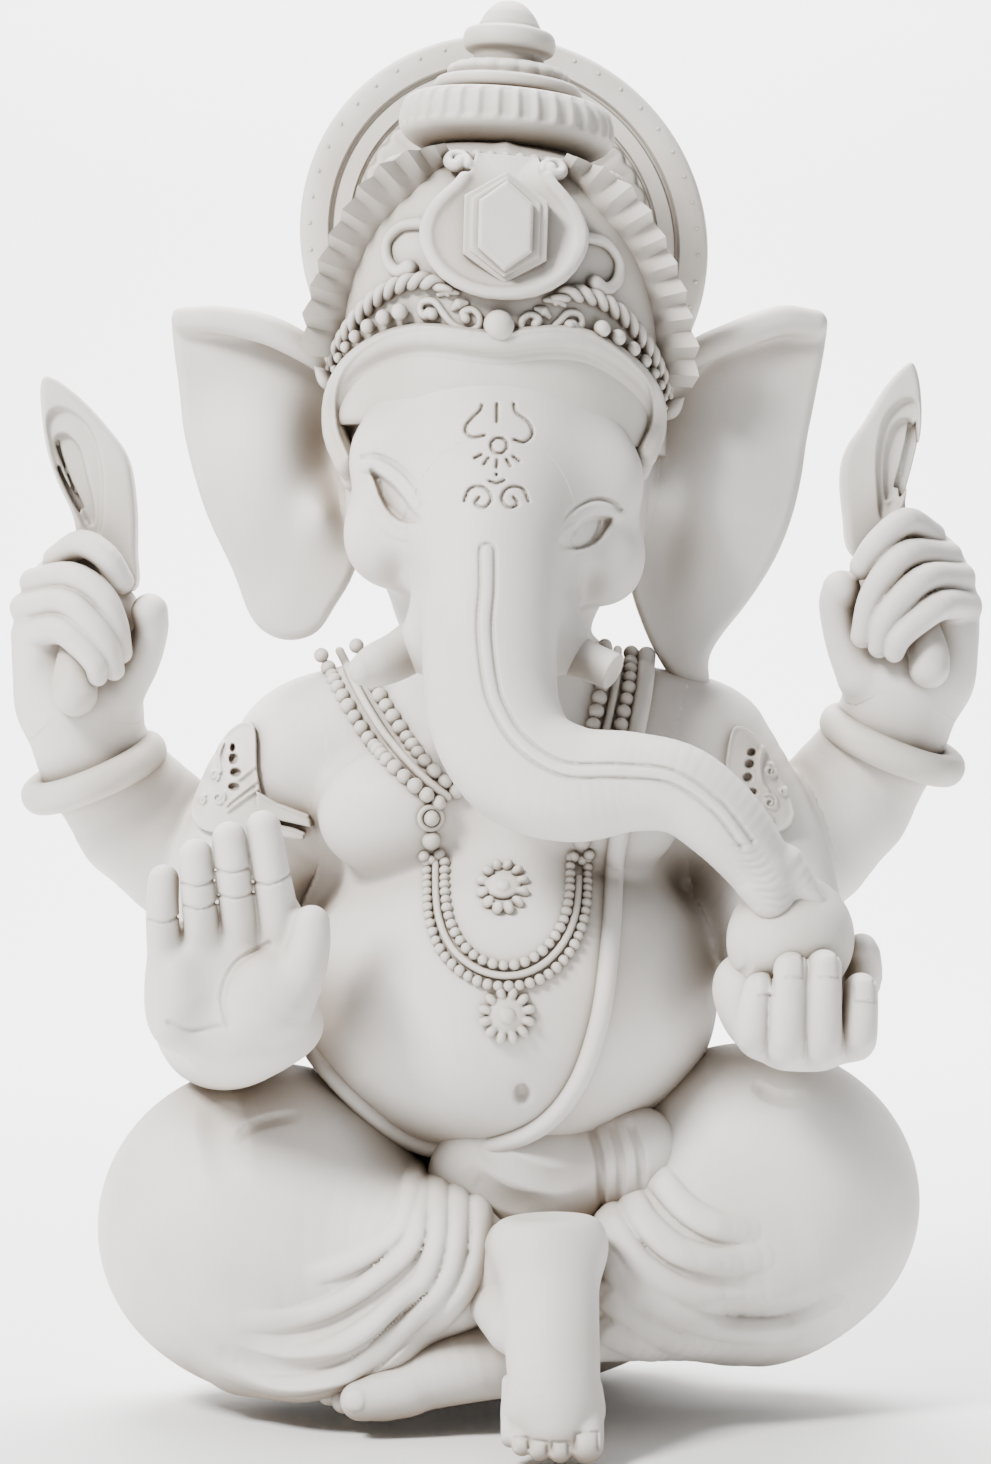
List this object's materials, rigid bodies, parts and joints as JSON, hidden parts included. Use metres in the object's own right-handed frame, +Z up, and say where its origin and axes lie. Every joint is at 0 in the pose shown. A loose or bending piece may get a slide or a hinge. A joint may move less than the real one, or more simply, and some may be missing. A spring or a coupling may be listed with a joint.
{
  "type": "ganesha idol",
  "caption": "Seated four-armed elephant-headed idol in matt white cast plaster, with domed crown, round halo, raised palm and a sweet under the trunk tip.",
  "frame": {"origin": "middle of the footprint on the plane that the figure sits on", "axes": "+Z up, the figure faces -Y, +X towards the figure's own left hand (right in a front view)"},
  "size_m": [0.2091, 0.127, 0.2963],
  "materials": {
    "skin": "matt cast white plaster, fine orange-peel surface",
    "cloth": "matt cast white plaster, smoother folds",
    "ornament": "matt cast white plaster, warm shading in the crevices"
  },
  "bodies": {
    "root": {"torso": "skin", "seat": "cloth", "right_leg": "cloth", "left_leg": "cloth", "right_foot": "skin", "left_foot": "skin", "waist_sash": "cloth", "front_right_arm": "skin", "front_left_arm": "skin", "rear_right_arm": "skin", "rear_left_arm": "skin", "blessing_hand": "skin", "sweet_hand": "skin", "rear_right_hand": "skin", "rear_left_hand": "skin", "rear_right_bangle": "ornament", "rear_left_bangle": "ornament", "right_armlet": "ornament", "left_armlet": "ornament", "armlet_ribbon": "ornament", "right_blade": "ornament", "left_blade": "ornament", "sweet_ball": "ornament", "head": "skin", "trunk": "skin", "right_ear": "skin", "left_ear": "skin", "right_tusk": "ornament", "left_tusk": "ornament", "crown_dome": "ornament", "brow_band": "ornament", "right_fan": "ornament", "left_fan": "ornament", "jewel_setting": "ornament", "crown_jewel": "ornament", "crown_lyre": "ornament", "right_side_scroll": "ornament", "left_side_scroll": "ornament", "right_pearl_row": "ornament", "left_pearl_row": "ornament", "right_rope": "ornament", "left_rope": "ornament", "right_brow_scroll": "ornament", "left_brow_scroll": "ornament", "brow_pearl": "ornament", "crown_disc": "ornament", "crown_cap": "ornament", "crown_finial": "ornament", "halo_disc": "ornament", "halo_rays": "ornament", "collar_beads": "ornament", "collar_cord": "ornament", "right_drop": "ornament", "left_drop": "ornament", "long_beads": "ornament", "long_cord": "ornament", "upper_pendant": "ornament", "lower_pendant": "ornament", "sacred_thread": "cloth"}
  },
  "joints": []
}
